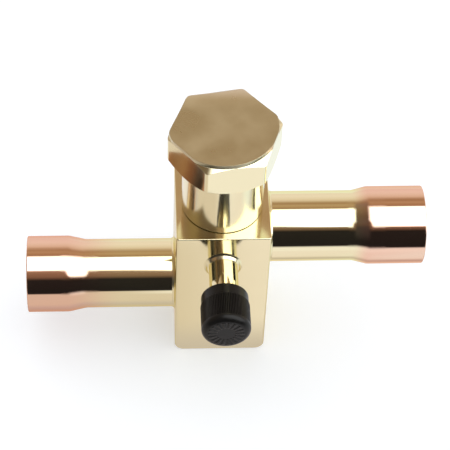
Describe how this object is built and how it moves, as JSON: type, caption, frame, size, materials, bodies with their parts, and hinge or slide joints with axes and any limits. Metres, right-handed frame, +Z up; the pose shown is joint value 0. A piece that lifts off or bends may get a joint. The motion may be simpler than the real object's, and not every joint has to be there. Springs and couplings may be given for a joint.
{
  "type": "refrigerant ball valve",
  "caption": "Brass block valve with two offset copper tube sockets, a quarter-turn ball and stem under a hexagon seal cap, and a capped access port in front.",
  "frame": {"origin": "centre of the block's bottom face, on the stem axis", "axes": "+Z up the stem axis, +X along the tubes towards the upper tube, -Y towards the access port"},
  "size_m": [0.1252, 0.0578, 0.0914],
  "materials": {
    "block_brass": "polished",
    "cap_brass": "polished",
    "fitting_brass": "turned",
    "tube_copper": "bright drawn copper with heat tint",
    "braze_alloy": "as brazed",
    "ball_chrome": "polished",
    "ptfe": "matt",
    "seal_rubber": "matt",
    "steel": "turned",
    "black_plastic": "moulded satin"
  },
  "bodies": {
    "root": {"valve_body": "block_brass", "access_fitting": "fitting_brass", "gland_nut": "fitting_brass", "seat_retainer": "fitting_brass", "core_body": "fitting_brass", "upper_tube": "tube_copper", "lower_tube": "tube_copper", "upper_braze_ring": "braze_alloy", "lower_braze_ring": "braze_alloy", "access_braze_ring": "braze_alloy", "outlet_seat": "ptfe", "support_seat": "ptfe", "lower_thrust_washer": "ptfe", "upper_thrust_washer": "ptfe", "core_seal": "ptfe", "seat_backup_ring": "seal_rubber", "core_spring": "steel"},
    "ball": {"ball": "ball_chrome"},
    "stem": {"stem": "steel", "stop_pin": "steel", "lower_stem_ring": "seal_rubber", "upper_stem_ring": "seal_rubber"},
    "seal_cap_gasket": {"seal_cap_gasket": "seal_rubber"},
    "seal_cap": {"seal_cap": "cap_brass"},
    "core_pin": {"core_pin": "steel", "core_pin_seal": "seal_rubber"},
    "access_cap_gasket": {"access_cap_gasket": "seal_rubber"},
    "access_cap": {"access_cap": "black_plastic"}
  },
  "joints": [
    {"name": "stem_turn", "type": "hinge", "parent": "root", "child": "stem", "pos_m": [0, 0, 0.06], "axis": [0, 0, -1], "range_deg": [0, 90]},
    {"name": "ball_turn", "type": "hinge", "parent": "root", "child": "ball", "pos_m": [0, 0, 0.0452], "axis": [0, 0, -1], "range_deg": [0, 90]},
    {"name": "seal_cap_lift", "type": "slide", "parent": "root", "child": "seal_cap_gasket", "axis": [0, 0, 1], "range_m": [0, 0.0285]},
    {"name": "seal_cap_turn", "type": "hinge", "parent": "seal_cap_gasket", "child": "seal_cap", "pos_m": [0, 0, 0.058], "axis": [0, 0, 1], "range_deg": [0, 6840]},
    {"name": "core_pin_press", "type": "slide", "parent": "root", "child": "core_pin", "axis": [0, 1, 0], "range_m": [0, 0.0012], "stiffness_N_per_m": 150, "springref_m": -0.0001, "deforming": ["core_spring"]},
    {"name": "access_cap_slide", "type": "slide", "parent": "root", "child": "access_cap_gasket", "axis": [0, -1, 0], "range_m": [0, 0.0127]},
    {"name": "access_cap_turn", "type": "hinge", "parent": "access_cap_gasket", "child": "access_cap", "pos_m": [0, -0.03515, 0.0446], "axis": [0, -1, 0], "range_deg": [0, 3600]}
  ],
  "couplings": [
    {"joint": "ball_turn", "follows": "stem_turn", "ratio": 1},
    {"joint": "seal_cap_turn", "follows": "seal_cap_lift", "rad_per_m": 4188.8},
    {"joint": "access_cap_turn", "follows": "access_cap_slide", "rad_per_m": 4947.4}
  ]
}
